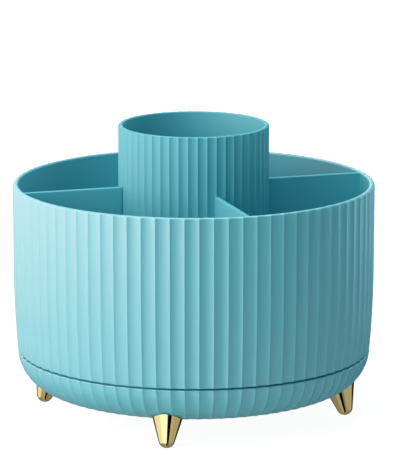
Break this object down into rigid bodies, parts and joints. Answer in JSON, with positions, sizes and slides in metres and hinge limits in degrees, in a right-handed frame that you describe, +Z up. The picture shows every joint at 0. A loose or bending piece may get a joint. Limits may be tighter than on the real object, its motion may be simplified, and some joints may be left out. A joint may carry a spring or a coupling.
{
  "type": "rotating desk organizer",
  "caption": "Round fluted desk organizer with a taller centre cup and a divided outer tub, which turns on a ball bearing over a low fluted base with splayed metal feet.",
  "frame": {"origin": "on the ground, under the axis that the tub turns about", "axes": "+Z up along the turning axis; the four dividers lie on the X and Y axes; the feet stand 27.3 degrees off them"},
  "size_m": [0.1598, 0.1598, 0.1291],
  "materials": {
    "turquoise_plastic": "moulded, fine satin texture",
    "gold_metal": "polished pale gold plating",
    "race_steel": "stamped zinc-plated sheet",
    "ball_steel": "polished",
    "white_nylon": "plain moulded",
    "screw_steel": "zinc-plated"
  },
  "bodies": {
    "base": {"base_shell": "turquoise_plastic", "pivot_cap": "turquoise_plastic", "pivot_bush": "white_nylon", "foot_1": "gold_metal", "foot_2": "gold_metal", "foot_3": "gold_metal", "foot_4": "gold_metal", "foot_screws": "screw_steel", "lower_race": "race_steel", "lower_race_screws": "screw_steel"},
    "tub": {"tub": "turquoise_plastic", "centre_cup": "turquoise_plastic", "cup_screws": "screw_steel", "divider_1": "turquoise_plastic", "divider_2": "turquoise_plastic", "divider_3": "turquoise_plastic", "divider_4": "turquoise_plastic", "upper_race": "race_steel", "upper_race_screws": "screw_steel", "pivot_washer": "screw_steel", "pivot_screw": "screw_steel"},
    "cage": {"ball_cage": "white_nylon", "bearing_balls": "ball_steel"}
  },
  "joints": [
    {"name": "tub_spin", "type": "hinge", "parent": "base", "child": "tub", "pos_m": [0, 0, 0.0197], "axis": [0, 0, 1], "continuous": true},
    {"name": "cage_spin", "type": "hinge", "parent": "base", "child": "cage", "pos_m": [0, 0, 0.0197], "axis": [0, 0, 1], "continuous": true}
  ],
  "couplings": [
    {"joint": "cage_spin", "follows": "tub_spin", "ratio": 0.5}
  ]
}
